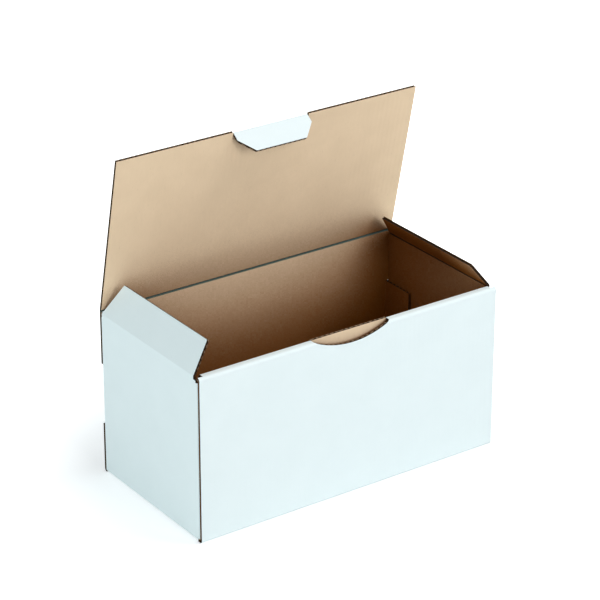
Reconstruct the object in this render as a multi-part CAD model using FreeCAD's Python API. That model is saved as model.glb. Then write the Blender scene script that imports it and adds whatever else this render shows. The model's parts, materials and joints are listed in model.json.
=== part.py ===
import FreeCAD, Part
import math
import os

os.makedirs("parts", exist_ok=True)

# A mailer box folded from one die-cut blank of fine-flute corrugated board, standing open.
# Origin: on the table under the middle of the box. +X runs along the length, to the right seen
# from the front, +Y runs to the back, where the lid hangs, and +Z is up.

# Inside of the closed box, and the board it is cut from
inside_length = 200.0
inside_depth = 95.0
inside_height = 100.0
board = 1.6
fold_radius = 0.2          # inside radius of a fixed fold

# Clearances between the layers of the folded sheet
layer_gap = 0.15           # two layers that lie on each other
hinge_gap = 0.15           # at the scored folds that turn
tab_swing = 0.7            # room that the tab needs in front of it in the front wall's pocket
tab_rest_gap = 0.2         # between the tucked-in tab and the front wall's inner layer
slit = 0.4                 # width of a die-cut slit

# Front wall: a panel that rolls over into an inner layer, locked into the floor
roll_inset = 3.2           # the rolled-over part stops short of the box's ends by this
notch_depth = 6.3          # thumb notch in the front panel
lock_tab_length = 30.0
lock_tab_spacing = 110.0   # between the middles of the two lock tabs
lock_slot_gap = 0.3
lock_tab_recess = 0.3      # the lock tabs end this far inside the floor's underside

# Corner flaps of the side panels, held in the front wall's pocket
pocket_flap_length = 45.0
corner_relief = 2.2        # they stop this far under the front wall's rolled top

# Corner flaps of the back panel, glued inside the side panels
rear_flap_length = 24.0
rear_flap_low = 31.0       # height of the flap's lower end
rear_flap_high = 69.0

# Dust flaps on the side panels' top edges
dust_flap_width = 21.0
dust_flap_bevel = 10.0     # the rear end slopes in by this, which clears the lid as it comes down
dust_flap_rear_gap = 0.6   # behind the flap, to the back panel
dust_flap_front_gap = 0.3  # in front of the flap, to the front wall's inner layer
flap_tip_radius = 0.8

# Lid and its tuck tab
lid_overhang = 1.6         # the lid's raw front edge reaches past the tab's fold by this
tab_base = 50.4
tab_tip = 34.0
tab_length = 14.0          # from the tab's fold to its free edge
tab_straight = 5.0         # its sides are square to the fold this far, then slope in
tab_side_gap = 0.6         # each side of the tab in the mouth of the pocket

# How the box stands in the photograph, in degrees from the closed box
lid_angle = 77.5
left_flap_angle = 64.0
right_flap_angle = 50.5
tab_angle = 114.8           # from straight on with the lid; 90 is square to it
tab_angle_most = 147.0      # with the lid right back
cut_margin = 1.0           # how far a cutting solid runs past what it cuts

# Outer sizes
pocket = board + tab_swing + tab_rest_gap
front_wall = 2 * board + pocket
outer_length = inside_length + 2 * board
outer_depth = inside_depth + board + front_wall
outer_height = inside_height + board
fold_outside = fold_radius + board

# Middles of the board in each wall
side_x = (outer_length - board) / 2
back_y = (outer_depth - board) / 2
front_y = -back_y
inner_y = front_y + board + pocket
pocket_y = (front_y + inner_y) / 2
floor_z = board / 2
roll_z = outer_height - board / 2

# Axes of the folds that turn
lid_axis_z = outer_height + hinge_gap + board / 2
flap_axis_z = roll_z
tab_axis_y = inner_y - board - tab_rest_gap
tab_reach = back_y - tab_axis_y
lid_reach = tab_reach + lid_overhang

# Ends of the dust flaps and of the side panels
flap_front_y = inner_y + board / 2 + dust_flap_front_gap
flap_rear_y = back_y - board / 2 - dust_flap_rear_gap
side_front_y = pocket_y - board / 2 + fold_outside
side_rear_y = back_y - board / 2 - layer_gap


def in_plane(plane, level, a, b):
    # a point of a section, placed on the section's plane
    if plane == "yz":
        return FreeCAD.Vector(level, a, b)
    if plane == "xz":
        return FreeCAD.Vector(a, level, b)
    return FreeCAD.Vector(a, b, level)


def direction(start, end):
    length = math.hypot(end[0] - start[0], end[1] - start[1])
    return (end[0] - start[0]) / length, (end[1] - start[1]) / length


def moved(point, way, distance):
    return point[0] + way[0] * distance, point[1] + way[1] * distance


def left_of(way):
    return -way[1], way[0]


def side_line(path, offset):
    # one face of a folded sheet, as pairs and threes of points: runs and arcs
    bend = fold_radius + board / 2
    pieces = []
    start = moved(path[0], left_of(direction(path[0], path[1])), offset)
    for before, corner, after in zip(path, path[1:], path[2:]):
        way_in = direction(before, corner)
        way_out = direction(corner, after)
        turn = math.atan2(way_in[0] * way_out[1] - way_in[1] * way_out[0],
                          way_in[0] * way_out[0] + way_in[1] * way_out[1])
        hand = math.copysign(1.0, turn)
        tangent = bend * math.tan(abs(turn) / 2)
        arc_start = moved(corner, way_in, -tangent)
        arc_end = moved(corner, way_out, tangent)
        centre = moved(arc_start, left_of(way_in), hand * bend)
        middle = moved(centre, direction(centre, corner), bend - hand * offset)
        arc_start = moved(arc_start, left_of(way_in), offset)
        arc_end = moved(arc_end, left_of(way_out), offset)
        pieces.append((start, arc_start))
        pieces.append((arc_start, middle, arc_end))
        start = arc_end
    way = direction(path[-2], path[-1])
    pieces.append((start, moved(path[-1], left_of(way), offset)))
    return pieces


def folded_sheet(path, plane, low, high, round_start=False, round_end=False):
    # board that follows a path of straight runs, with a fold at each corner of the path
    near = side_line(path, board / 2)
    far = [piece[::-1] for piece in reversed(side_line(path, -board / 2))]
    end_cap = [(near[-1][-1], far[0][0])]
    start_cap = [(far[-1][-1], near[0][0])]
    if round_end:
        crown = moved(path[-1], direction(path[-2], path[-1]), board / 2)
        end_cap = [(near[-1][-1], crown, far[0][0])]
    if round_start:
        crown = moved(path[0], direction(path[1], path[0]), board / 2)
        start_cap = [(far[-1][-1], crown, near[0][0])]
    edges = []
    for piece in near + end_cap + far + start_cap:
        points = [in_plane(plane, low, *point) for point in piece]
        if len(points) == 2:
            edges.append(Part.makeLine(*points))
        else:
            edges.append(Part.Arc(*points).toShape())
    face = Part.Face(Part.Wire(edges))
    return face.extrude(in_plane(plane, high - low, 0, 0))


def block(x, y, z):
    # a box between two values on each axis
    corner = FreeCAD.Vector(x[0], y[0], z[0])
    return Part.makeBox(x[1] - x[0], y[1] - y[0], z[1] - z[0], corner)


def both_ends(solid):
    mirrored = solid.mirror(FreeCAD.Vector(0, 0, 0), FreeCAD.Vector(1, 0, 0))
    return [solid, mirrored]


def rod(start, end, radius):
    return Part.makeCylinder(radius, (end - start).Length, start, end - start)


def prism(points, thickness, plane, level):
    # a flat outline of straight edges, given a thickness
    corners = [in_plane(plane, level, *point) for point in points]
    face = Part.Face(Part.makePolygon(corners + corners[:1]))
    return face.extrude(in_plane(plane, thickness, 0, 0))


def long_strip():
    # back panel, floor, front panel and the roll-over, one piece of board
    back_end = lid_axis_z - board / 2 - hinge_gap
    path = [(back_y, back_end), (back_y, floor_z), (front_y, floor_z), (front_y, roll_z),
            (inner_y, roll_z), (inner_y, board + layer_gap)]
    half = outer_length / 2
    strip = folded_sheet(path, "yz", -half, half)
    past = half + cut_margin

    # the floor folds up into the side panels between these two places
    cuts = both_ends(block((half - fold_outside, past), (side_front_y, side_rear_y), (-cut_margin, board)))
    # the rolled-over part is shorter than the front panel
    cuts += both_ends(block((half - roll_inset, past), (front_y + board / 2, inner_y + board),
                            (board, outer_height + cut_margin)))
    # the back panel is narrower where its corner flaps fold in
    cuts += both_ends(block((half - board - layer_gap - fold_outside, past),
                            (back_y - board, back_y + board), (rear_flap_low, rear_flap_high)))
    return strip.cut(cuts)


def thumb_notch():
    # a shallow arc out of the front panel, and the mouth of the pocket behind it
    half = tab_base / 2 + tab_side_gap
    radius = (half ** 2 + notch_depth ** 2) / (2 * notch_depth)
    middle = outer_height - notch_depth + radius
    front_face = front_y - board / 2
    inner_front = inner_y - board / 2
    start = FreeCAD.Vector(0, front_face - cut_margin, middle)
    end = FreeCAD.Vector(0, front_face + board, middle)
    mouth = block((-half, half), (front_face - cut_margin, inner_front),
                  (roll_z - board, outer_height + cut_margin))
    mouth = mouth.cut(block((-half, half), (front_face - cut_margin, front_face + board),
                            (0, outer_height + cut_margin)))
    return [rod(start, end, radius), mouth]


def notch_backing():
    # behind the notch the inner layer stands straight up, with a raw top edge
    half = tab_base / 2 + tab_side_gap
    return block((-half, half), (inner_y - board / 2, inner_y + board / 2), (roll_z - fold_outside, outer_height))


def lock_tabs(shape):
    # the roll-over's lower edge has two tabs that drop into slots in the floor
    middles = (-lock_tab_spacing / 2, lock_tab_spacing / 2)
    for middle in middles:
        half = lock_tab_length / 2
        shape = shape.cut(block((middle - half - lock_slot_gap, middle + half + lock_slot_gap),
                                (inner_y - board / 2 - lock_slot_gap, inner_y + board / 2 + lock_slot_gap),
                                (-cut_margin, board)))
        shape = shape.fuse(block((middle - half, middle + half), (inner_y - board / 2, inner_y + board / 2),
                                 (lock_tab_recess, 2 * board)))
    return shape


def cross_strip():
    # the two side panels and the floor between them
    top = flap_axis_z - board - hinge_gap
    path = [(-side_x, top), (-side_x, floor_z), (side_x, floor_z), (side_x, top)]
    return folded_sheet(path, "xz", side_front_y, side_rear_y, round_start=True, round_end=True)


def pocket_flaps():
    # the side panels' front ends turn in between the front wall's two layers
    path = [(side_x, side_front_y + fold_outside), (side_x, pocket_y), (side_x - pocket_flap_length, pocket_y)]
    low = board + layer_gap
    high = outer_height - board - corner_relief
    return both_ends(folded_sheet(path, "xy", low, high))


def rear_flaps():
    # the back panel's ends turn in along the side panels, where they are glued
    flap_x = side_x - board - layer_gap
    path = [(flap_x - 2 * fold_outside, back_y), (flap_x, back_y), (flap_x, back_y - rear_flap_length)]
    return both_ends(folded_sheet(path, "xy", rear_flap_low + slit, rear_flap_high - slit))


def carton():
    body = lock_tabs(long_strip().cut(thumb_notch()))
    body = body.fuse([notch_backing(), cross_strip()] + pocket_flaps() + rear_flaps())
    return body.removeSplitter()


def lid():
    # modelled shut, then raised about its fold
    half = outer_length / 2
    low = lid_axis_z - board / 2
    high = lid_axis_z + board / 2
    panel = block((-half, half), (back_y - lid_reach, back_y), (low, high))
    bead = rod(FreeCAD.Vector(-half, back_y, lid_axis_z), FreeCAD.Vector(half, back_y, lid_axis_z), board / 2)
    panel = panel.fuse(bead).removeSplitter()

    # the middle of the free edge is cut back to the tab's fold, and mitred inside for the tab's swing
    cut_half = tab_base / 2 + slit
    swing = math.radians(180 - tab_angle_most)
    reach = board / 2 + hinge_gap
    high_end = math.sqrt(reach ** 2 - (board / 2) ** 2)
    low_end = (reach + board / 2 * math.cos(swing)) / math.sin(swing)
    margin = cut_margin
    outline = [(tab_axis_y + high_end, high), (tab_axis_y + low_end, low),
               (tab_axis_y + low_end, low - margin), (back_y - lid_reach - margin, low - margin),
               (back_y - lid_reach - margin, high + margin), (tab_axis_y + high_end, high + margin)]
    cut = prism(outline, 2 * cut_half, "yz", -cut_half)
    panel = panel.cut(cut).removeSplitter()
    return raise_lid(panel)


def raise_lid(shape):
    return shape.rotate(FreeCAD.Vector(0, back_y, lid_axis_z), FreeCAD.Vector(1, 0, 0), -lid_angle)


def tuck_tab():
    # modelled flat with the shut lid, bent about its own fold, then raised with the lid
    low = lid_axis_z - board / 2
    fold = tab_axis_y
    outline = [(-tab_base / 2, fold), (tab_base / 2, fold), (tab_base / 2, fold - tab_straight),
               (tab_tip / 2, fold - tab_length), (-tab_tip / 2, fold - tab_length),
               (-tab_base / 2, fold - tab_straight)]
    tab = rounded_tips(prism(outline, board, "xy", low), 1, fold - tab_length)
    start = FreeCAD.Vector(-tab_base / 2, fold, lid_axis_z)
    end = FreeCAD.Vector(tab_base / 2, fold, lid_axis_z)
    tab = tab.fuse(rod(start, end, board / 2)).removeSplitter()
    tab = tab.rotate(start, FreeCAD.Vector(1, 0, 0), tab_angle)
    return raise_lid(tab)


def rounded_tips(flap, axis, place):
    # the upright edges at a flat flap's free end are slightly rounded; axis 0 is X and 1 is Y
    tips = []
    for edge in flap.Edges:
        ends = [vertex.Point[axis] for vertex in edge.Vertexes]
        at_free_end = max(abs(end - place) for end in ends) < layer_gap / 2
        if at_free_end and edge.BoundBox.ZLength > board / 2:
            tips.append(edge)
    return flap.makeFillet(flap_tip_radius, tips)


def dust_flap(side, angle):
    # modelled lying flat over the box, then raised about its fold; side is -1 left, 1 right
    fold = side * side_x
    tip = side * (side_x - dust_flap_width)
    low = flap_axis_z - board / 2
    outline = [(fold, flap_front_y), (tip, flap_front_y), (tip, flap_rear_y - dust_flap_bevel), (fold, flap_rear_y)]
    flap = rounded_tips(prism(outline, board, "xy", low), 0, tip)
    start = FreeCAD.Vector(fold, flap_front_y, flap_axis_z)
    end = FreeCAD.Vector(fold, flap_rear_y, flap_axis_z)
    flap = flap.fuse(rod(start, end, board / 2)).removeSplitter()
    return flap.rotate(start, FreeCAD.Vector(0, 1, 0), side * angle)


nodes = {
    "carton": carton(),
    "lid": lid(),
    "tuck_tab": tuck_tab(),
    "left_dust_flap": dust_flap(-1, left_flap_angle),
    "right_dust_flap": dust_flap(1, right_flap_angle),
}

for name, shape in nodes.items():
    solid = shape.Solids[0] if len(shape.Solids) == 1 else shape
    solid.exportStep("parts/" + name + ".step")
    box = solid.BoundBox
    print(name, "solids", len(shape.Solids), "valid", solid.isValid(), "volume %.1f" % solid.Volume,
          "x %.2f %.2f y %.2f %.2f z %.2f %.2f" % (box.XMin, box.XMax, box.YMin, box.YMax, box.ZMin, box.ZMax))
print("lid axis y %.3f z %.3f" % (back_y, lid_axis_z))
print("flap axis x %.3f z %.3f" % (side_x, flap_axis_z))
print("tab reach %.3f, lid reach %.3f" % (tab_reach, lid_reach))
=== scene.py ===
import json
import math

import bmesh
import bpy
from mathutils import Matrix, Vector


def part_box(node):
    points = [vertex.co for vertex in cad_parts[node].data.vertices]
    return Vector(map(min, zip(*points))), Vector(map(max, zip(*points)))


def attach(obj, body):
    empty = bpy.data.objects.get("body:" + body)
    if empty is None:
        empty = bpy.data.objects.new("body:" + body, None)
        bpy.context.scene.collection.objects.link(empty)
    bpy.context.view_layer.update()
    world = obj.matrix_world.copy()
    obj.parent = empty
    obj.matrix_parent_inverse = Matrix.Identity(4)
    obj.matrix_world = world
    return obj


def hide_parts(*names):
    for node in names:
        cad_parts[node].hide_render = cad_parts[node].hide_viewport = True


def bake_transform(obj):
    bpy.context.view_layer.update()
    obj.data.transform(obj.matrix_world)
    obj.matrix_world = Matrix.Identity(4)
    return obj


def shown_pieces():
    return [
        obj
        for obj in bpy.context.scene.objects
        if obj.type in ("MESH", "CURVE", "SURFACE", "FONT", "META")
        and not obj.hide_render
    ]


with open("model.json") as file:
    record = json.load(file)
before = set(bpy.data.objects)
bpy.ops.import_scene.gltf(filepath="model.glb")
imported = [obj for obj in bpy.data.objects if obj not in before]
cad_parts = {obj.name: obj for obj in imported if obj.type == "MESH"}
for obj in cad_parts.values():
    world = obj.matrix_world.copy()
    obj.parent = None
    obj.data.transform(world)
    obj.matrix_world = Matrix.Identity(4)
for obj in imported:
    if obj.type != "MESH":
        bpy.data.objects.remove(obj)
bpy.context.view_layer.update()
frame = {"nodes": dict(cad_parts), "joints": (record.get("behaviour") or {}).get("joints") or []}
print("frame loaded:", sorted(frame["nodes"]))

# the sheet of board, in metres
board = {
    "thickness": 0.0016,
    "outerLiner": 0.0002,
    "innerLiner": 0.0002,
    "flutePitch": 0.0033,
    "flutePaper": 0.00014,
    "fluteSamples": 8,        # along one flute
    "foldRadius": 0.0002,     # inside radius of a fixed fold
    "foldSteps": 8,           # facets round a fold
    "fluteRecess": 0.00008,   # the fluted paper is crushed back a little at a cut
    "fluteFit": 0.98,         # share of the room between the liners that the flutes fill
    "weld": 0.000005,         # corners closer than this are one
    "layerGap": 0.00015,
}
half = board["thickness"] / 2
foldOutside = board["foldRadius"] + board["thickness"]

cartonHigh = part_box("carton")[1]
jointAxis = {joint["name"]: Vector(joint["pos_m"]) for joint in frame["joints"]}
lidAxis = jointAxis["lid_fold"]
tabAxis = jointAxis["tab_fold"]
leftAxis = jointAxis["left_flap_fold"]
rightAxis = jointAxis["right_flap_fold"]

# the carton's panels, worked out from the frame
carton = {
    "frontWall": 0.0057,      # two layers and the pocket between them
    "rollInset": 0.0032,      # the rolled-over part stops short of the ends
    "rollInsetLow": 0.0025,   # from this height up
    "cornerCutHigh": 0.002,   # the floor's ends give way to the side panels up to here
    "notchDepth": 0.0063,
    "notchHalf": 0.0258,
    "notchSteps": 48,
    "lockTabLength": 0.030,
    "lockTabSpacing": 0.110,
    "lockSlotGap": 0.0003,
    "lockSlotOvercut": 0.000016,
    "lockTabRecess": 0.0003,
    "pocketFlap": 0.045,
    "cornerRelief": 0.0022,
    "glueFlap": 0.024,
    "glueFlapLow": 0.031,
    "glueFlapHigh": 0.069,
    "glueSlit": 0.00008,
}
halfLength = cartonHigh.x
outerHeight = cartonHigh.z
sideX = halfLength - half
backY = cartonHigh.y - half
frontY = -backY
innerY = frontY + carton["frontWall"] - board["thickness"]
pocketY = (frontY + innerY) / 2
floorZ = half
rollZ = outerHeight - half
sideFrontY = pocketY - half + foldOutside
sideRearY = backY - half - board["layerGap"]
foldReach = board["thickness"] + board["layerGap"]      # a turning fold takes this much of each panel
backTopZ = lidAxis.z - foldReach
sideTopZ = leftAxis.z - foldReach


# sections of folded board
def unit(start, end):
    return (end - start).normalized()


def leftOf(way):
    return Vector((-way.y, way.x))


def turned(way, angle):
    return Matrix.Rotation(angle, 2) @ way


def bentLine(path, offset):
    # the line at an offset to the left of a path whose corners are folded round
    radius = board["foldRadius"] + half
    points = [path[0] + leftOf(unit(path[0], path[1])) * offset]
    for before, corner, after in zip(path, path[1:], path[2:]):
        wayIn, wayOut = unit(before, corner), unit(corner, after)
        turn = math.atan2(wayIn.x * wayOut.y - wayIn.y * wayOut.x, wayIn.dot(wayOut))
        hand = math.copysign(1, turn)
        start = corner - wayIn * radius * math.tan(abs(turn) / 2)
        centre = start + leftOf(wayIn) * hand * radius
        for step in range(board["foldSteps"] + 1):
            spoke = turned(leftOf(wayIn) * -hand, turn * step / board["foldSteps"])
            points.append(centre + spoke * (radius - hand * offset))
    points.append(path[-1] + leftOf(unit(path[-2], path[-1])) * offset)
    return points


def inPlane(plane, level, point):
    if plane == "yz":
        return Vector((level, point.x, point.y))
    if plane == "xz":
        return Vector((point.x, level, point.y))
    return Vector((point.x, point.y, level))


def addSheet(mesh, section, finishes, plane, low, high, flutesAlongPath):
    # a closed sheet between two lines of a section; finishes are those of its left, right and cut faces
    left, right = section
    uvLayer = mesh.loops.layers.uv.verify()
    travelled = [0.0]
    for a, b in zip(left, left[1:]):
        travelled.append(travelled[-1] + (b - a).length)
    corners, blank = [], {}
    for i, (a, b) in enumerate(zip(left, right)):
        row = []
        for point in (a, b):
            for level in (low, high):
                vert = mesh.verts.new(inPlane(plane, level, point))
                blank[vert] = (level, travelled[i]) if flutesAlongPath else (travelled[i], level)
                row.append(vert)
        corners.append(row)
    made = []

    def face(verts, finish):
        new = mesh.faces.new(verts)
        new.material_index = finish
        for loop in new.loops:
            loop[uvLayer].uv = blank[loop.vert]
        made.append(new)

    for row, nextRow in zip(corners, corners[1:]):
        leftLow, leftHigh, rightLow, rightHigh = row
        nextLeftLow, nextLeftHigh, nextRightLow, nextRightHigh = nextRow
        face((leftLow, nextLeftLow, nextLeftHigh, leftHigh), finishes[0])
        face((nextRightLow, rightLow, rightHigh, nextRightHigh), finishes[1])
        face((nextLeftLow, leftLow, rightLow, nextRightLow), finishes[2])
        face((leftHigh, nextLeftHigh, nextRightHigh, rightHigh), finishes[2])
    for row in (corners[0], corners[-1]):
        face((row[0], row[1], row[3], row[2]), finishes[2])
    bmesh.ops.recalc_face_normals(mesh, faces=made)
    return made


# cutting shapes
def addPrism(mesh, outline, plane, low, high):
    # a closed prism on an outline of 2-D points, all of it raw edge
    lowRing, highRing = [[mesh.verts.new(inPlane(plane, level, Vector(point))) for point in outline]
                         for level in (low, high)]
    made = [mesh.faces.new(lowRing), mesh.faces.new(highRing)]
    for i in range(len(outline)):
        following = (i + 1) % len(outline)
        made.append(mesh.faces.new((lowRing[i], lowRing[following], highRing[following], highRing[i])))
    for new in made:
        new.material_index = rawEdgePaintedShade
    bmesh.ops.recalc_face_normals(mesh, faces=made)


def addBlock(mesh, x, y, z):
    addPrism(mesh, [(x[0], y[0]), (x[1], y[0]), (x[1], y[1]), (x[0], y[1])], "xy", z[0], z[1])


def asObject(name, mesh, finishes):
    data = bpy.data.meshes.new(name)
    mesh.to_mesh(data)
    mesh.free()
    for finish in finishes:
        data.materials.append(finish)
    made = bpy.data.objects.new(name, data)
    bpy.context.scene.collection.objects.link(made)
    return made


def evaluatedMesh(item):
    # the plain mesh that an object's modifiers leave
    bpy.context.view_layer.update()
    graph = bpy.context.evaluated_depsgraph_get()
    return bpy.data.meshes.new_from_object(item.evaluated_get(graph), preserve_all_data_layers=True,
                                           depsgraph=graph)


def cutBy(item, cutter, operation="DIFFERENCE"):
    # shapes a sheet with a cutter and leaves a plain mesh
    modifier = item.modifiers.new("cut", "BOOLEAN")
    modifier.operation = operation
    modifier.solver = "EXACT"
    modifier.object = cutter
    result = evaluatedMesh(item)
    item.modifiers.clear()
    old = item.data
    item.data = result
    bpy.data.meshes.remove(old)


def discard(item):
    data = item.data
    bpy.data.objects.remove(item)
    if data.users == 0:
        bpy.data.meshes.remove(data)


# shader groups
def newGroup(name, inputs, outputs):
    group = bpy.data.node_groups.new(name, "ShaderNodeTree")
    for label, kind, value in inputs:
        socket = group.interface.new_socket(label, in_out="INPUT", socket_type=kind)
        if value is not None:
            socket.default_value = value
    for label, kind in outputs:
        group.interface.new_socket(label, in_out="OUTPUT", socket_type=kind)
    return group, group.nodes.new("NodeGroupInput"), group.nodes.new("NodeGroupOutput")


def node(tree, kind, **settings):
    # adds a node; settings with a capital are its inputs, the others its properties
    made = tree.nodes.new(kind)
    for key, value in settings.items():
        if key[0].isupper():
            socket = made.inputs[key.replace("_", " ")]
            if isinstance(value, bpy.types.NodeSocket):
                tree.links.new(value, socket)
            else:
                socket.default_value = value
        else:
            setattr(made, key, value)
    return made


def maths(tree, operation, *values):
    made = tree.nodes.new("ShaderNodeMath")
    made.operation = operation
    for socket, value in zip(made.inputs, values):
        if isinstance(value, bpy.types.NodeSocket):
            tree.links.new(value, socket)
        else:
            socket.default_value = value
    return made.outputs[0]


def mixColour(tree, factor, first, second):
    made = tree.nodes.new("ShaderNodeMix")
    made.data_type = "RGBA"
    for socket, value in ((made.inputs[0], factor), (made.inputs[6], first), (made.inputs[7], second)):
        if isinstance(value, bpy.types.NodeSocket):
            tree.links.new(value, socket)
        else:
            socket.default_value = value
    return made.outputs[2]


paperGrain = {
    "drawnOut": (1.0, 0.22, 1.0),     # fibres and flecks are longer one way
    "cloudDetail": 3.0, "cloudRoughness": 0.55,
    "fibreDetail": 4.0, "fibreRoughness": 0.65,
    "fleckDetail": 1.0, "fleckRoughness": 0.4,
    "fleckLimit": 0.82, "fleckSharpness": 9.0,
    "ridgeDriftSize": 25.0, "ridgeDriftDetail": 1.0,
}


def buildFibreGroup():
    # paper seen close: soft clouds, fibres drawn out one way, and darker flecks
    group, start, end = newGroup("paperFibre", [
        ("Vector", "NodeSocketVector", None), ("Cloud Size", "NodeSocketFloat", 60.0),
        ("Fibre Size", "NodeSocketFloat", 700.0), ("Fleck Size", "NodeSocketFloat", 1500.0),
        ("Fleck Share", "NodeSocketFloat", 0.3)], [
        ("Cloud", "NodeSocketFloat"), ("Fibre", "NodeSocketFloat"), ("Fleck", "NodeSocketFloat")])
    drawn = node(group, "ShaderNodeMapping", Vector=start.outputs["Vector"], Scale=paperGrain["drawnOut"])

    def noise(name, place):
        size = start.outputs[name.capitalize() + " Size"]
        return node(group, "ShaderNodeTexNoise", Vector=place, Scale=size, Detail=paperGrain[name + "Detail"],
                    Roughness=paperGrain[name + "Roughness"])

    cloud = noise("cloud", start.outputs["Vector"])
    fibre = noise("fibre", drawn.outputs[0])
    fleck = noise("fleck", drawn.outputs[0])
    threshold = maths(group, "SUBTRACT", paperGrain["fleckLimit"], start.outputs["Fleck Share"])
    above = maths(group, "SUBTRACT", fleck.outputs[0], threshold)
    mask = node(group, "ShaderNodeClamp", Value=maths(group, "MULTIPLY", above, paperGrain["fleckSharpness"]))
    group.links.new(cloud.outputs[0], end.inputs["Cloud"])
    group.links.new(fibre.outputs[0], end.inputs["Fibre"])
    group.links.new(mask.outputs[0], end.inputs["Fleck"])
    return group


def buildWashboardGroup():
    # the flutes showing faintly through a liner, as ridges across the sheet's first coordinate
    group, start, end = newGroup("washboard", [
        ("Vector", "NodeSocketVector", None), ("Pitch", "NodeSocketFloat", board["flutePitch"])], [
        ("Ridge", "NodeSocketFloat")])
    parts = node(group, "ShaderNodeSeparateXYZ", Vector=start.outputs["Vector"])
    turns = maths(group, "DIVIDE", parts.outputs[0], start.outputs["Pitch"])
    wave = maths(group, "SINE", maths(group, "MULTIPLY", turns, 2 * math.pi))
    drift = node(group, "ShaderNodeTexNoise", Vector=start.outputs["Vector"],
                 Scale=paperGrain["ridgeDriftSize"], Detail=paperGrain["ridgeDriftDetail"])
    uneven = maths(group, "MULTIPLY", wave, drift.outputs[0])
    group.links.new(uneven, end.inputs["Ridge"])
    return group


fibreGroup = buildFibreGroup()
washboardGroup = buildWashboardGroup()


def newMaterial(name):
    material = bpy.data.materials.new(name)
    material.use_nodes = True
    tree = material.node_tree
    tree.nodes.clear()
    surface = tree.nodes.new("ShaderNodeBsdfPrincipled")
    output = tree.nodes.new("ShaderNodeOutputMaterial")
    tree.links.new(surface.outputs[0], output.inputs[0])
    return material, tree, surface


def linerMaterial(name, look):
    # a flat paper face; its grain and the flutes under it follow the blank's own coordinates
    material, tree, surface = newMaterial(name)
    place = node(tree, "ShaderNodeUVMap", uv_map="blank")
    grain = node(tree, "ShaderNodeGroup", node_tree=fibreGroup)
    grain.inputs["Cloud Size"].default_value = look["cloudSize"]
    grain.inputs["Fibre Size"].default_value = look["fibreSize"]
    grain.inputs["Fleck Share"].default_value = look["fleckShare"]
    ridges = node(tree, "ShaderNodeGroup", node_tree=washboardGroup)
    for group in (grain, ridges):
        tree.links.new(place.outputs[0], group.inputs["Vector"])
    colour = mixColour(tree, grain.outputs["Cloud"], look["dark"], look["light"])
    for mark, shown, tone in (("Fibre", "fibreShow", "fibre"), ("Fleck", "fleckShow", "fleck")):
        strength = maths(tree, "MULTIPLY", grain.outputs[mark], look[shown])
        colour = mixColour(tree, strength, colour, look[tone])
    if "shade" in look:
        # painted shade: where ambient occlusion finds the paper deep in a corner, its colour is mixed towards
        # a darker, warmer brown
        enclosed = node(tree, "ShaderNodeAmbientOcclusion", Distance=look["shadeReach"],
                        samples=look["shadeRays"])
        paintedShadeMask = node(tree, "ShaderNodeMapRange", Value=enclosed.outputs["AO"], From_Min=look["shadeFrom"],
                        From_Max=look["shadeTo"])
        colour = mixColour(tree, paintedShadeMask.outputs[0], look["shade"], colour)
    tree.links.new(colour, surface.inputs["Base Color"])
    rough = node(tree, "ShaderNodeMapRange", Value=grain.outputs["Fibre"], To_Min=look["roughness"][0],
                 To_Max=look["roughness"][1])
    tree.links.new(rough.outputs[0], surface.inputs["Roughness"])
    height = maths(tree, "ADD", maths(tree, "MULTIPLY", grain.outputs["Fibre"], look["fibreHeight"]),
                   maths(tree, "MULTIPLY", ridges.outputs["Ridge"], look["ridgeHeight"]))
    bump = node(tree, "ShaderNodeBump", Height=height, Distance=1.0, Strength=1.0)
    tree.links.new(bump.outputs[0], surface.inputs["Normal"])
    surface.inputs["Specular IOR Level"].default_value = look["specular"]
    return material


def coreMaterial(name, look):
    # torn and cut paper, seen on edge or inside the flutes, in colours darkened as painted shade
    material, tree, surface = newMaterial(name)
    place = node(tree, "ShaderNodeTexCoord")
    noise = node(tree, "ShaderNodeTexNoise", Vector=place.outputs["Object"], Scale=look["size"],
                 Detail=look["detail"])
    colour = mixColour(tree, noise.outputs[0], look["dark"], look["light"])
    tree.links.new(colour, surface.inputs["Base Color"])
    bump = node(tree, "ShaderNodeBump", Height=maths(tree, "MULTIPLY", noise.outputs[0], look["height"]),
                Distance=1.0, Strength=1.0)
    tree.links.new(bump.outputs[0], surface.inputs["Normal"])
    rough = node(tree, "ShaderNodeMapRange", Value=noise.outputs[0], To_Min=look["roughness"][0],
                 To_Max=look["roughness"][1])
    tree.links.new(rough.outputs[0], surface.inputs["Roughness"])
    surface.inputs["Specular IOR Level"].default_value = look["specular"]
    return material


whiteLook = {
    "dark": (0.777, 0.861, 0.867, 1), "light": (0.826, 0.906, 0.912, 1), "fibre": (0.748, 0.816, 0.818, 1),
    "fleck": (0.641, 0.697, 0.678, 1), "cloudSize": 45.0, "fibreSize": 900.0, "fleckShare": 0.12,
    "fibreShow": 0.10, "fleckShow": 0.2, "roughness": (0.5, 0.66), "fibreHeight": 0.00001,
    "ridgeHeight": 0.000012, "specular": 0.35,
}
kraftAndPaintedShadeLook = {
    "dark": (0.788, 0.596, 0.402, 1), "light": (0.900, 0.690, 0.476, 1), "fibre": (0.675, 0.490, 0.310, 1),
    "fleck": (0.338, 0.223, 0.118, 1), "cloudSize": 55.0, "fibreSize": 700.0, "fleckShare": 0.14,
    "fibreShow": 0.22, "fleckShow": 0.14, "roughness": (0.78, 0.92), "fibreHeight": 0.00002,
    "ridgeHeight": 0.00002, "specular": 0.2,
    # painted shade: the dark warm brown and the occlusion range that darken paper deep in corners
    "shade": (0.21, 0.065, 0.0, 1), "shadeReach": 0.25, "shadeFrom": 0.22, "shadeTo": 0.50, "shadeRays": 8,
}
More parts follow.
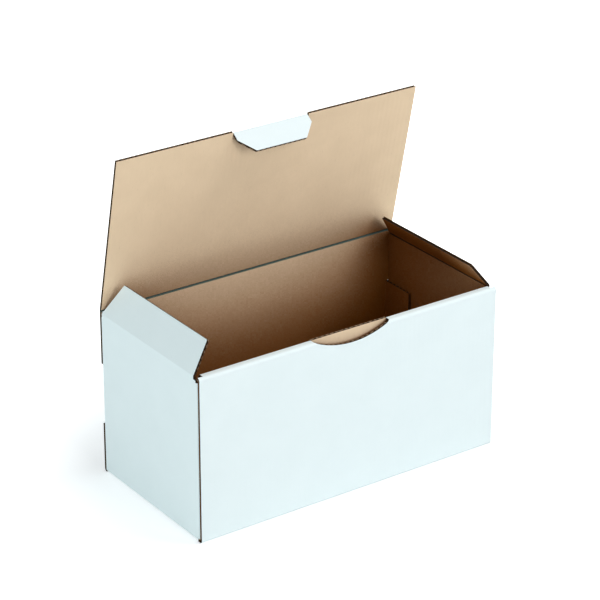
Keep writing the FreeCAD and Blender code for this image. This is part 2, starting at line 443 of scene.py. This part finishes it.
# painted shade: cut paper edges are coloured near black, darker than the kraft they are, standing for the
# shade in the hollows between the liners
cutLookPaintedShade = {
    "dark": (0.014, 0.007, 0.004, 1), "light": (0.06, 0.032, 0.018, 1), "size": 2500.0, "detail": 4.0,
    "height": 0.00004, "roughness": (0.8, 0.95), "specular": 0.15,
}
# painted shade: the fluted paper is kraft but is coloured dark brown for the shade inside the flutes
fluteLookPaintedShade = dict(cutLookPaintedShade, dark=(0.025, 0.012, 0.006, 1), light=(0.07, 0.04, 0.02, 1), size=1500.0,
                 height=0.00003)
# painted shade: the pressed score in the lid's fold is coloured dark teal, standing for the white liner seen
# in shade inside the groove
scoreLookPaintedShade = dict(cutLookPaintedShade, dark=(0.05, 0.085, 0.075, 1), light=(0.11, 0.15, 0.13, 1), size=900.0,
                 height=0.00003)
whitePaper = linerMaterial("whiteLinerPaper", whiteLook)
kraftPaperAndPaintedShade = linerMaterial("kraftLinerPaperAndPaintedShade", kraftAndPaintedShadeLook)
rawPaperPaintedShade = coreMaterial("cutPaperEdgePaintedShade", cutLookPaintedShade)
flutePaper = coreMaterial("flutedPaperPaintedShade", fluteLookPaintedShade)
scorePaperPaintedShade = coreMaterial("pressedScorePaintedShade", scoreLookPaintedShade)
finishes = [whitePaper, kraftPaperAndPaintedShade, rawPaperPaintedShade, flutePaper, scorePaperPaintedShade]
whiteFace, kraftFace, rawEdgePaintedShade, fluteFacePaintedShade, scoreFacePaintedShade = range(len(finishes))
print("materials made")


# the fluted paper between the liners
def chosenBy(tree, switch, whenFalse, whenTrue):
    # one of two geometries
    made = node(tree, "GeometryNodeSwitch", input_type="GEOMETRY", Switch=switch)
    tree.links.new(whenFalse, made.inputs["False"])
    tree.links.new(whenTrue, made.inputs["True"])
    return made.outputs[0]


def buildFlutingTree():
    tree = bpy.data.node_groups.new("fluting", "GeometryNodeTree")
    tree.interface.new_socket("Geometry", in_out="INPUT", socket_type="NodeSocketGeometry")
    for label, value in (("Low", 0.0), ("High", 0.1), ("Pitch", board["flutePitch"]), ("Height", 0.001),
                         ("Paper", board["flutePaper"]), ("Samples", float(board["fluteSamples"]))):
        tree.interface.new_socket(label, in_out="INPUT", socket_type="NodeSocketFloat").default_value = value
    tree.interface.new_socket("Across Path", in_out="INPUT", socket_type="NodeSocketBool")
    tree.interface.new_socket("Material", in_out="INPUT", socket_type="NodeSocketMaterial")
    tree.interface.new_socket("Geometry", in_out="OUTPUT", socket_type="NodeSocketGeometry")
    start, end = tree.nodes.new("NodeGroupInput"), tree.nodes.new("NodeGroupOutput")
    given = start.outputs

    def wave(place):
        turns = maths(tree, "DIVIDE", place, given["Pitch"])
        swing = maths(tree, "SINE", maths(tree, "MULTIPLY", turns, 2 * math.pi))
        return maths(tree, "MULTIPLY", swing, maths(tree, "MULTIPLY", given["Height"], 0.5))

    stepLength = maths(tree, "DIVIDE", given["Pitch"], given["Samples"])

    # flutes that lie across the path: the path itself is finely divided and waves
    path = node(tree, "GeometryNodeMeshToCurve", Mesh=given["Geometry"])
    fine = node(tree, "GeometryNodeResampleCurve", Curve=path.outputs[0], mode="LENGTH", Length=stepLength)
    chosen = chosenBy(tree, given["Across Path"], path.outputs[0], fine.outputs[0])
    upright = node(tree, "GeometryNodeSetCurveNormal", Curve=chosen, mode="Z_UP")
    along = tree.nodes.new("GeometryNodeSplineParameter")
    side = tree.nodes.new("GeometryNodeInputNormal")
    shift = node(tree, "ShaderNodeVectorMath", operation="SCALE")
    tree.links.new(side.outputs[0], shift.inputs[0])
    swings = maths(tree, "MULTIPLY", wave(along.outputs["Length"]), given["Across Path"])
    tree.links.new(swings, shift.inputs["Scale"])
    waved = node(tree, "GeometryNodeSetPosition", Geometry=upright.outputs[0], Offset=shift.outputs[0])

    # flutes that run along the path: the swept profile waves
    lowEnd = node(tree, "ShaderNodeCombineXYZ", Y=given["Low"])
    highEnd = node(tree, "ShaderNodeCombineXYZ", Y=given["High"])
    line = node(tree, "GeometryNodeCurvePrimitiveLine", Start=lowEnd.outputs[0], End=highEnd.outputs[0])
    fineLine = node(tree, "GeometryNodeResampleCurve", Curve=line.outputs[0], mode="LENGTH",
                    Length=stepLength)
    profile = chosenBy(tree, given["Across Path"], fineLine.outputs[0], line.outputs[0])
    spot = node(tree, "ShaderNodeSeparateXYZ", Vector=tree.nodes.new("GeometryNodeInputPosition").outputs[0])
    still = maths(tree, "SUBTRACT", 1.0, given["Across Path"])
    sideways = node(tree, "ShaderNodeCombineXYZ", X=maths(tree, "MULTIPLY", wave(spot.outputs[1]), still))
    wavedLine = node(tree, "GeometryNodeSetPosition", Geometry=profile, Offset=sideways.outputs[0])

    swept = node(tree, "GeometryNodeCurveToMesh", Curve=waved.outputs[0])
    tree.links.new(wavedLine.outputs[0], swept.inputs["Profile Curve"])
    thick = node(tree, "GeometryNodeExtrudeMesh", mode="FACES", Mesh=swept.outputs[0],
                 Offset_Scale=given["Paper"], Individual=False)
    back = node(tree, "GeometryNodeFlipFaces", Mesh=swept.outputs[0])
    both = tree.nodes.new("GeometryNodeJoinGeometry")
    tree.links.new(thick.outputs[0], both.inputs[0])
    tree.links.new(back.outputs[0], both.inputs[0])
    closed = node(tree, "GeometryNodeMergeByDistance", Geometry=both.outputs[0], Distance=board["weld"])
    real = node(tree, "GeometryNodeRealizeInstances", Geometry=closed.outputs[0])
    dressed = node(tree, "GeometryNodeSetMaterial", Geometry=real.outputs[0], Material=given["Material"])
    tree.links.new(dressed.outputs[0], end.inputs[0])
    return tree


flutingTree = buildFlutingTree()


def flutingMesh(path, plane, low, high, flutesAlongPath):
    # the path lies in the tree's XY plane and its Z runs across the sheet; the result is turned into place
    across = {"yz": 1, "xz": -1, "xy": 1}[plane]
    levels = sorted((low * across, high * across))
    mesh = bmesh.new()
    verts = [mesh.verts.new((point.x, point.y, 0)) for point in bentLine(path, 0)]
    for a, b in zip(verts, verts[1:]):
        mesh.edges.new((a, b))
    item = asObject("flutingPath", mesh, [])
    modifier = item.modifiers.new("fluting", "NODES")
    modifier.node_group = flutingTree
    gap = board["thickness"] - board["outerLiner"] - board["innerLiner"] - board["flutePaper"]
    values = {
        "Low": -levels[1] + board["fluteRecess"], "High": -levels[0] - board["fluteRecess"],
        "Height": gap * board["fluteFit"], "Across Path": not flutesAlongPath, "Material": flutePaper,
    }
    for socket in flutingTree.interface.items_tree:
        if socket.in_out == "INPUT" and socket.name in values:
            modifier[socket.identifier] = values[socket.name]
    data = evaluatedMesh(item)
    discard(item)
    axes = {
        "yz": Matrix(((0, 0, 1), (1, 0, 0), (0, 1, 0))),
        "xz": Matrix(((1, 0, 0), (0, 0, -1), (0, 1, 0))),
        "xy": Matrix.Identity(3),
    }[plane]
    data.transform(axes.to_4x4())
    return data


layers = {}


def keepLayer(body, layer, data):
    # gathers one layer of one body in a single mesh
    if (body, layer) not in layers:
        layers[body, layer] = bmesh.new()
    layers[body, layer].from_mesh(data)


def boardPanel(body, path, plane, low, high, flutesAlongPath, cutters=(), outline=None):
    # two liners with the fluted paper between them; the path has the white side on its left
    path = [Vector(point) for point in path]
    lines = {
        "OuterLiner": ((half, half - board["outerLiner"]), (whiteFace, kraftFace, rawEdgePaintedShade)),
        "InnerLiner": ((-half + board["innerLiner"], -half), (kraftFace, kraftFace, rawEdgePaintedShade)),
    }
    sheets = {}
    for layer, (offsets, sides) in lines.items():
        mesh = bmesh.new()
        section = [bentLine(path, offset) for offset in offsets]
        addSheet(mesh, section, sides, plane, low, high, flutesAlongPath)
        sheets[layer] = asObject(layer, mesh, finishes)
    fluting = flutingMesh(path, plane, low, high, flutesAlongPath)
    sheets["Fluting"] = bpy.data.objects.new("Fluting", fluting)
    bpy.context.scene.collection.objects.link(sheets["Fluting"])
    fluting.materials.clear()
    for finish in finishes:
        fluting.materials.append(finish)
    for polygon in fluting.polygons:
        polygon.material_index = fluteFacePaintedShade
    for layer, item in sheets.items():
        for cutter in cutters:
            cutBy(item, cutter)
        if outline is not None:
            cutBy(item, outline, "INTERSECT")
        keepLayer(body, layer, item.data)
        discard(item)


# carton: back, floor, front and roll-over in one strip
past = 0.001        # a cutting shape reaches this far past the board
nudge = 0.00002     # and keeps this far off a face that it would share
sideInnerX = sideX - half - board["layerGap"]     # what lies inside a side panel ends here


def mirrored(side, a, b):
    # a span of x on one side of the middle
    return tuple(sorted((side * a, side * b)))


mesh = bmesh.new()
for side in (-1, 1):
    addBlock(mesh, mirrored(side, halfLength - foldOutside, halfLength + past), (sideFrontY, sideRearY),
             (-past, carton["cornerCutHigh"]))
    addBlock(mesh, mirrored(side, halfLength - carton["rollInset"], halfLength + past),
             (frontY + half + nudge, innerY + board["thickness"]),
             (carton["rollInsetLow"], outerHeight + past))
    addBlock(mesh, mirrored(side, sideInnerX - foldOutside, halfLength + past),
             (backY - 2 * half, backY + 2 * half), (carton["glueFlapLow"], carton["glueFlapHigh"]))
endCuts = asObject("endCuts", mesh, finishes)

mesh = bmesh.new()
notchRadius = (carton["notchHalf"] ** 2 + carton["notchDepth"] ** 2) / (2 * carton["notchDepth"])
notchTop = outerHeight + past
notchCentre = outerHeight - carton["notchDepth"] + notchRadius
arc = []
swing = math.acos((notchCentre - notchTop) / notchRadius)
for step in range(carton["notchSteps"] + 1):
    angle = -swing + 2 * swing * step / carton["notchSteps"]
    arc.append((notchRadius * math.sin(angle), notchCentre - notchRadius * math.cos(angle)))
addPrism(mesh, arc, "xz", frontY - half - past, frontY + half + nudge)
notchCut = asObject("notchCut", mesh, finishes)
mesh = bmesh.new()
addBlock(mesh, (-carton["notchHalf"], carton["notchHalf"]), (frontY + half, innerY + 2 * half),
         (rollZ - foldOutside, outerHeight + past))
mouthCut = asObject("mouthCut", mesh, finishes)

aboveFloor = board["thickness"] + board["layerGap"]
lockHalf, lockGap = carton["lockTabLength"] / 2, carton["lockSlotGap"]
lockMiddles = (-carton["lockTabSpacing"] / 2, carton["lockTabSpacing"] / 2)
mesh = bmesh.new()
for middle in lockMiddles:
    addBlock(mesh, (middle - lockHalf - lockGap, middle + lockHalf + lockGap),
             (innerY - half - lockGap, innerY + half + lockGap),
             (-past, board["thickness"] + carton["lockSlotOvercut"]))
slotCuts = asObject("slotCuts", mesh, finishes)

backPath = [(backY, backTopZ), (backY, floorZ), (frontY, floorZ), (frontY, rollZ), (innerY, rollZ),
            (innerY, aboveFloor)]
boardPanel("carton", backPath, "yz", -halfLength, halfLength, True, (endCuts, notchCut, mouthCut, slotCuts))
# behind the notch the inner layer stands straight up
boardPanel("carton", [(innerY, outerHeight), (innerY, rollZ - foldOutside)], "yz", -carton["notchHalf"],
           carton["notchHalf"], True)
for middle in lockMiddles:
    boardPanel("carton", [(innerY, aboveFloor), (innerY, carton["lockTabRecess"])], "yz", middle - lockHalf,
               middle + lockHalf, True)
print("strip made")


# carton: side panels with the flaps in the front wall's pocket, and the back panel's corner flaps
def bothSides(path, plane, low, high, flutesAlongPath):
    # a path on the right, and its mirror image the other way round
    mirrorPath = [(-x, other) for x, other in reversed(path)]
    for oneSide in (mirrorPath, path):
        boardPanel("carton", oneSide, plane, low, high, flutesAlongPath)


floorEnd = halfLength - foldOutside
bothSides([(sideX, sideTopZ), (sideX, floorZ), (floorEnd, floorZ)], "xz", sideFrontY, sideRearY, False)
pocketHigh = outerHeight - board["thickness"] - carton["cornerRelief"]
pocketEnd = sideX - carton["pocketFlap"]
bothSides([(sideX, sideFrontY), (sideX, pocketY), (pocketEnd, pocketY)], "xy", aboveFloor, pocketHigh, True)
glueX = sideInnerX - half
glueStart = glueX + half - foldOutside
glueLow, glueHigh = carton["glueFlapLow"] + carton["glueSlit"], carton["glueFlapHigh"] - carton["glueSlit"]
glueEnd = backY - carton["glueFlap"]
bothSides([(glueStart, backY), (glueX, backY), (glueX, glueEnd)], "xy", glueLow, glueHigh, False)
print("sides made")


# flat panels that turn, each shaped by an outline in its own plane
def placedPrism(name, outline, origin, along, across, normal):
    # a tall prism on an outline given as (distance from the fold, place along the fold)
    mesh = bmesh.new()
    depth = 4 * board["thickness"]
    addPrism(mesh, outline, "xy", -depth, depth)
    turn = Matrix((along, across, normal)).transposed().to_4x4()
    for vert in mesh.verts:
        vert.co = origin + (turn @ vert.co.to_4d()).to_3d()
    bmesh.ops.recalc_face_normals(mesh, faces=mesh.faces)
    return asObject(name, mesh, finishes)


def roundedCorner(corner, before, after, radius, steps=5):
    # points of a small arc in place of an outline's corner
    corner, before, after = Vector(corner), Vector(before), Vector(after)
    a, b = unit(corner, before), unit(corner, after)
    opening = a.angle(b)
    reach = radius / math.tan(opening / 2)
    centre = corner + (a + b).normalized() * (radius / math.sin(opening / 2))
    first, last = corner + a * reach - centre, corner + b * reach - centre
    sweep = math.atan2(first.x * last.y - first.y * last.x, first.dot(last))
    return [tuple(centre + turned(first, sweep * step / steps)) for step in range(steps + 1)]


# the lid
lid = {
    "raised": 77.5,           # degrees up from shut
    "reach": 0.100,           # from its fold to its front edge
    "tabSlit": 0.0004,        # beside the tab
}
lidTurn = math.radians(lid["raised"])
lidWay = Vector((-math.cos(lidTurn), math.sin(lidTurn)))      # up the lid from its fold, in the YZ plane
lidStart = Vector((lidAxis.y, lidAxis.z))
lidAlong, lidAcross = Vector((0, lidWay.x, lidWay.y)), Vector((1, 0, 0))
tab = {
    "bent": 114.8,            # degrees down from the lid's plane
    "length": 0.014,
    "straight": 0.005,        # its sides run straight this far, then slope in
    "base": 0.0504,
    "tip": 0.034,
    "tipRadius": 0.0008,
    "foldReach": 0.003,       # its fold takes this much of the lid and of the tab
}
tabHalf = tab["base"] / 2
slitHalf = tabHalf + lid["tabSlit"]
gapStart = (Vector((tabAxis.y, tabAxis.z)) - lidStart).length - tab["foldReach"]
gapEnd = lid["reach"] + past
gapOutline = [(gapStart, -slitHalf), (gapEnd, -slitHalf), (gapEnd, slitHalf), (gapStart, slitHalf)]
tabGap = placedPrism("tabGap", gapOutline, lidAxis, lidAlong, lidAcross, lidAlong.cross(lidAcross))
boardPanel("lid", [lidStart + lidWay * lid["reach"], lidStart + lidWay * foldReach], "yz", -halfLength,
           halfLength, True, (tabGap,))

# the tuck tab
tabTurn = math.radians(tab["bent"])
tabFlat = Vector((-math.cos(tabTurn), -math.sin(tabTurn)))     # out along the tab with the lid shut
tabWay = turned(tabFlat, -lidTurn)
tabStart = Vector((tabAxis.y, tabAxis.z))
tabAlong = Vector((0, tabWay.x, tabWay.y))
tipHalf = tab["tip"] / 2
tipCorners = [(0, -tabHalf), (tab["straight"], -tabHalf), (tab["length"], -tipHalf), (tab["length"], tipHalf),
              (tab["straight"], tabHalf), (0, tabHalf)]
tabOutline = [tipCorners[0], tipCorners[1]]
tabOutline += roundedCorner(tipCorners[2], tipCorners[1], tipCorners[3], tab["tipRadius"])
tabOutline += roundedCorner(tipCorners[3], tipCorners[2], tipCorners[4], tab["tipRadius"])
tabOutline += [tipCorners[4], tipCorners[5]]
tabShape = placedPrism("tabShape", tabOutline, tabAxis, tabAlong, lidAcross, tabAlong.cross(lidAcross))
boardPanel("tab", [tabStart + tabWay * (tab["length"] + past), tabStart + tabWay * tab["foldReach"]], "yz",
           -tabHalf - past, tabHalf + past, True, (), tabShape)

# the dust flaps
dustFlap = {
    "leftAngle": 64.0,        # degrees up from level
    "rightAngle": 50.5,
    "width": 0.021,
    "bevel": 0.010,           # the rear end slopes by this much
    "tipRadius": 0.0008,
}
flapNodes = {"left_flap": ("left_dust_flap", leftAxis, dustFlap["leftAngle"], 1),
             "right_flap": ("right_dust_flap", rightAxis, dustFlap["rightAngle"], -1)}
flapWays = {}
for body, (cadNode, axis, angle, inward) in flapNodes.items():
    low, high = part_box(cadNode)
    lean = math.radians(angle)
    way = Vector((inward * math.cos(lean), math.sin(lean)))
    flapWays[body] = way
    corners = [(0, low.y), (dustFlap["width"], low.y), (dustFlap["width"], high.y - dustFlap["bevel"]),
               (0, high.y)]
    outline = [corners[0]]
    outline += roundedCorner(corners[1], corners[0], corners[2], dustFlap["tipRadius"])
    outline += roundedCorner(corners[2], corners[1], corners[3], dustFlap["tipRadius"])
    outline.append(corners[3])
    along, across = Vector((way.x, 0, way.y)), Vector((0, 1, 0))
    shape = placedPrism(body + "Shape", outline, Vector((axis.x, 0, axis.z)), along, across,
                        along.cross(across))
    start = Vector((axis.x, axis.z))
    run = [start + way * foldReach, start + way * (dustFlap["width"] + past)]
    if inward < 0:
        run.reverse()
    boardPanel(body, run, "xz", low.y - past, high.y + past, False, (), shape)
    discard(shape)
for item in (endCuts, notchCut, mouthCut, slotCuts, tabGap, tabShape):
    discard(item)
print("turning panels made")


# the scored folds at the hinges, each built bent to its panels' present angle
def pieceName(body, ending):
    # a piece's name from its body's
    first, *others = body.split("_")
    return first + "".join(word.capitalize() for word in others) + ending


def foldPiece(name, axis, wayA, wayB, plane, low, high, reach, outside, groove):
    # the board that bends between two panels: a solid strip with a pressed groove inside
    # outside is 1 where the white face is to the left of wayA reversed, going from panel A to panel B
    normalA = leftOf(-wayA) * outside
    normalB = leftOf(wayB) * outside
    outer = [wayA * reach + normalA * half]
    steps = board["foldSteps"]
    between = math.atan2(normalA.x * normalB.y - normalA.y * normalB.x, normalA.dot(normalB))
    for step in range(steps + 1):
        outer.append(turned(normalA, between * step / steps) * half)
    outer.append(wayB * reach + normalB * half)
    middle = -(normalA + normalB).normalized()
    opening = math.acos(max(-1.0, min(1.0, wayA.dot(wayB))))
    meet = half / math.tan(opening / 2)
    lip = max(meet + groove["clear"], groove["halfWidth"])
    crushed = half - groove["crush"]
    inner = [wayA * reach - normalA * half, wayA * lip - normalA * crushed]
    dip = middle * (half / math.sin(opening / 2) - groove["depth"])
    for step in range(1, steps):
        share = step / steps
        edgeA, edgeB = inner[1], wayB * lip - normalB * crushed
        base = edgeA.lerp(edgeB, share)
        inner.append(base.lerp(dip, math.sin(math.pi * share) ** groove["hollow"]))
    inner += [wayB * lip - normalB * crushed, wayB * reach - normalB * half]
    origin = Vector((axis.y, axis.z)) if plane == "yz" else Vector((axis.x, axis.z))
    outer = [origin + point for point in outer]
    inner = [origin + point for point in inner]
    mesh = bmesh.new()
    made = addSheet(mesh, (outer, inner), (whiteFace, kraftFace, rawEdgePaintedShade), plane, low, high, True)
    grooveFrom, grooveTo = groove["faces"]
    inside = [new for new in made if new.material_index == kraftFace]
    for new in inside[grooveFrom:grooveTo]:
        new.material_index = groove["finish"]
    item = asObject(name, mesh, finishes)
    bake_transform(item)


down = Vector((0, -1))
lidGroove = {
    "halfWidth": 0.0009, "depth": 0.0006,
    "clear": 0.0002,          # the groove starts this far beyond where the two insides meet
    "hollow": 1.5,            # how sharply it dips
    "crush": 0.0,             # how much thinner the board is pressed beside it
    "bend": 0.95,
    # painted shade: the lid's groove takes the dark teal score colour
    "faces": (1, board["foldSteps"] + 1), "finish": scoreFacePaintedShade,
}
# painted shade: the flaps' and the tab's fold grooves take the near-black cut edge colour
flapGroove = dict(lidGroove, finish=rawEdgePaintedShade)
tabGroove = dict(flapGroove, crush=0.00038, bend=0.3)
foldPiece("lidFold", lidAxis, down, lidWay, "yz", -halfLength, halfLength, foldReach, -1,
          lidGroove)
for body, (cadNode, axis, angle, inward) in flapNodes.items():
    low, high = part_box(cadNode)
    foldPiece(pieceName(body, "Fold"), axis, down, flapWays[body], "xz", low.y, high.y,
              foldReach, inward, flapGroove)
foldPiece("tabFold", tabAxis, -lidWay, tabWay, "yz", -tabHalf, tabHalf, tab["foldReach"], -1,
          tabGroove)
print("folds made")

# each layer of each body becomes one piece, and the outer liner stands for the solid
standsFor = {"carton": "carton", "lid": "lid", "tab": "tuck_tab", "left_flap": "left_dust_flap",
             "right_flap": "right_dust_flap"}
for (body, layer), mesh in layers.items():
    item = asObject(pieceName(body, layer), mesh, finishes)
    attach(item, body)
    if layer == "OuterLiner":
        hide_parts(standsFor[body])
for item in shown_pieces():
    if item.type == "MESH" and item.data.uv_layers:
        item.data.uv_layers[0].name = "blank"
print("pieces placed")

# floor, light and camera
studio = {
    "floorSize": 6.0, "floorColour": (0.80, 0.84, 0.85, 1),
    "nearGlow": 0.471, "farGlow": 1.0, "glowFrom": 0.12, "glowTo": 0.22,
    "worldColour": (0.93, 0.97, 1.0, 1), "worldStrength": 0.372,
    "aim": (0, 0, 0.08),
    "lights": {
        "rightHigh": {"place": (0.9, -0.5, 1.6), "size": 1.0, "power": 15.61, "colour": (1.0, 1.0, 1.0)},
        "leftLow": {"place": (-1.7, -0.25, 0.12), "size": 0.22, "power": 9.75, "colour": (0.88, 0.99, 1.0)},
        "frontHigh": {"place": (0.1, -1.9, 0.9), "size": 0.9, "power": 13.67, "colour": (1.0, 1.0, 1.0)},
    },
}


def stageMaterial():
    # a pale floor whose shadow stays near the box and which is white beyond it
    material = bpy.data.materials.new("paleFloor")
    material.use_nodes = True
    tree = material.node_tree
    tree.nodes.clear()
    output = tree.nodes.new("ShaderNodeOutputMaterial")
    matt = node(tree, "ShaderNodeBsdfDiffuse", Color=studio["floorColour"])
    seen = tree.nodes.new("ShaderNodeLightPath")
    glow = node(tree, "ShaderNodeEmission", Color=(1, 1, 1, 1))
    seenBy = maths(tree, "MAXIMUM", seen.outputs["Is Camera Ray"], seen.outputs["Is Glossy Ray"])
    spot = node(tree, "ShaderNodeTexCoord")
    away = node(tree, "ShaderNodeVectorMath", operation="LENGTH")
    tree.links.new(spot.outputs["Object"], away.inputs[0])
    brightness = node(tree, "ShaderNodeMapRange", Value=away.outputs["Value"], From_Min=studio["glowFrom"],
                      From_Max=studio["glowTo"], To_Min=studio["nearGlow"], To_Max=studio["farGlow"])
    tree.links.new(maths(tree, "MULTIPLY", seenBy, brightness.outputs[0]), glow.inputs["Strength"])
    both = tree.nodes.new("ShaderNodeAddShader")
    tree.links.new(matt.outputs[0], both.inputs[0])
    tree.links.new(glow.outputs[0], both.inputs[1])
    tree.links.new(both.outputs[0], output.inputs[0])
    return material


mesh = bmesh.new()
bmesh.ops.create_grid(mesh, x_segments=8, y_segments=8, size=studio["floorSize"] / 2)
floor = asObject("floor", mesh, [stageMaterial()])

world = bpy.data.worlds.new("studio")
bpy.context.scene.world = world
world.use_nodes = True
tree = world.node_tree
tree.nodes.clear()
seen = tree.nodes.new("ShaderNodeLightPath")
dome = node(tree, "ShaderNodeBackground", Color=studio["worldColour"], Strength=studio["worldStrength"])
backdrop = node(tree, "ShaderNodeBackground", Color=(1, 1, 1, 1), Strength=1.0)
straight = maths(tree, "MAXIMUM", seen.outputs["Is Camera Ray"],
                 maths(tree, "MAXIMUM", seen.outputs["Is Glossy Ray"], seen.outputs["Is Transmission Ray"]))
choice = tree.nodes.new("ShaderNodeMixShader")
tree.links.new(straight, choice.inputs[0])
tree.links.new(dome.outputs[0], choice.inputs[1])
tree.links.new(backdrop.outputs[0], choice.inputs[2])
output = tree.nodes.new("ShaderNodeOutputWorld")
tree.links.new(choice.outputs[0], output.inputs[0])

for name, light in studio["lights"].items():
    lamp = bpy.data.lights.new(name, "AREA")
    lamp.energy = light["power"]
    lamp.shape = "DISK"
    lamp.size = light["size"]
    lamp.color = light["colour"]
    holder = bpy.data.objects.new(name, lamp)
    bpy.context.scene.collection.objects.link(holder)
    holder.location = light["place"]
    holder.rotation_euler = (Vector(studio["aim"]) - holder.location).to_track_quat("-Z", "Y").to_euler()

camera = {
    "azimuth": -35.137, "elevation": 25.148, "roll": 0.096, "distance": 1.5111,
    "target": (0, 0, 0.060), "right": 0.000068, "up": 0.037335, "lens": 157.87, "sensor": 36,
    "clip": (0.05, 50),
}
azimuth, elevation = math.radians(camera["azimuth"]), math.radians(camera["elevation"])
back = Vector((math.sin(azimuth) * math.cos(elevation), -math.cos(azimuth) * math.cos(elevation),
               math.sin(elevation)))
right = Vector((0, 0, 1)).cross(back).normalized()
up = back.cross(right)
roll = math.radians(camera["roll"])
right, up = right * math.cos(roll) + up * math.sin(roll), up * math.cos(roll) - right * math.sin(roll)
lens = bpy.data.cameras.new("photoCamera")
lens.lens = camera["lens"]
lens.sensor_width = camera["sensor"]
lens.clip_start, lens.clip_end = camera["clip"]
photoCamera = bpy.data.objects.new("photoCamera", lens)
bpy.context.scene.collection.objects.link(photoCamera)
place = Vector(camera["target"]) + right * camera["right"] + up * camera["up"] + back * camera["distance"]
turn = Matrix((right, up, back)).transposed().to_4x4()
photoCamera.matrix_world = Matrix.Translation(place) @ turn
bpy.context.scene.camera = photoCamera
bpy.context.scene.view_settings.view_transform = "Standard"
print("studio ready")
